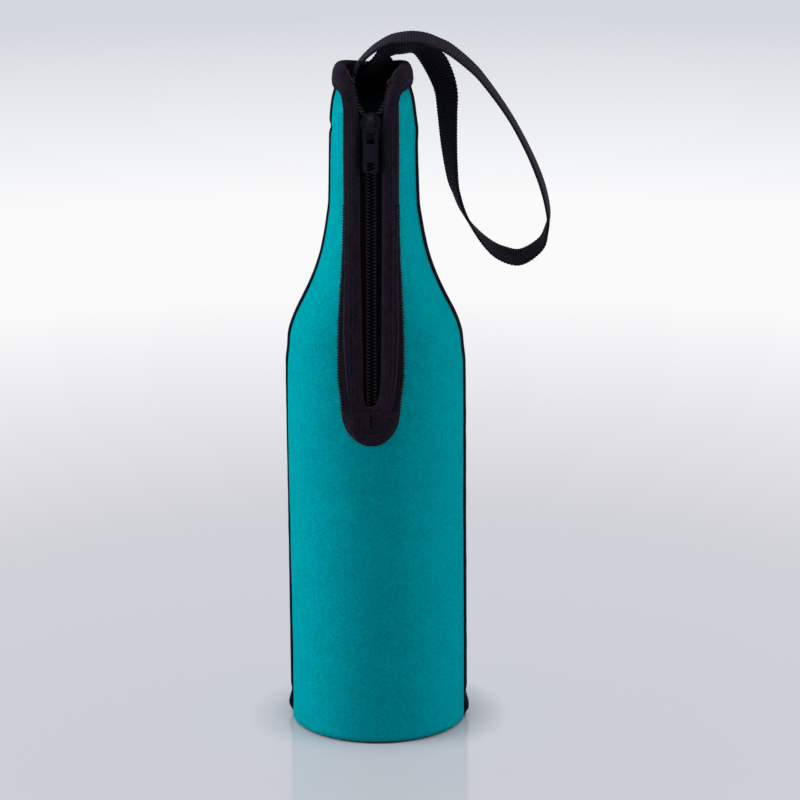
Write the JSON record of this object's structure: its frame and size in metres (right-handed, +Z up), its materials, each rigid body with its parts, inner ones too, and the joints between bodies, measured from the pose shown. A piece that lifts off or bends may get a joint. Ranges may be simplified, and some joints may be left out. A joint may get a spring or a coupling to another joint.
{
  "type": "wine cooler bag",
  "caption": "Neoprene sleeve shaped like a wine bottle, with a bound mouth, a zip down the front with a slider and pull, and a webbing wrist strap that swings up.",
  "frame": {"origin": "middle of the base, on the surface that the bag stands on", "axes": "+Z up along the bottle's axis, -Y out of the zipped front, +X to the side where the strap hangs"},
  "size_m": [0.1282, 0.0882, 0.3404],
  "materials": {
    "teal_neoprene": "smooth jersey-faced neoprene foam, 3 mm",
    "black_knit": "knitted binding tape, matt",
    "black_tape": "woven zip tape, matt",
    "black_nylon": "moulded or coiled nylon, satin",
    "black_metal": "black enamelled zinc, semi-gloss",
    "black_webbing": "ribbed woven webbing, matt",
    "black_thread": "sewing thread"
  },
  "bodies": {
    "bag": {"front_panel": "teal_neoprene", "back_panel": "teal_neoprene", "base_disc": "teal_neoprene", "base_seam": "black_thread", "side_seam_left": "black_knit", "side_seam_right": "black_knit", "rim_binding": "black_knit", "zip_binding_left": "black_knit", "zip_binding_right": "black_knit", "zip_facing_left": "black_knit", "zip_facing_right": "black_knit", "zip_end_cover": "black_knit", "zip_tape_left": "black_tape", "zip_tape_right": "black_tape", "zip_coil_left": "black_nylon", "zip_coil_right": "black_nylon", "top_stop_left": "black_metal", "top_stop_right": "black_metal", "bottom_stop": "black_nylon", "strap_end_left": "black_webbing", "strap_end_back": "black_webbing", "strap_bartack_left": "black_thread", "strap_bartack_back": "black_thread"},
    "slider": {"slider_body": "black_metal"},
    "pull": {"pull_tab": "black_metal"},
    "strap": {"strap_loop": "black_webbing"}
  },
  "joints": [
    {"name": "zip_slide", "type": "slide", "parent": "bag", "child": "slider", "axis": [0, -0.1526, -0.9883], "range_m": [-0.012, 0.125], "deforming": ["zip_tape_left", "zip_tape_right", "zip_coil_left", "zip_coil_right"]},
    {"name": "pull_flip", "type": "hinge", "parent": "slider", "child": "pull", "pos_m": [0, -0.02573, 0.30061], "axis": [-1, 0, 0], "range_deg": [0, 150]},
    {"name": "strap_swing", "type": "hinge", "parent": "bag", "child": "strap", "pos_m": [-0.0036, 0.003, 0.3294], "axis": [0, -1, 0], "range_deg": [0, 120]}
  ]
}
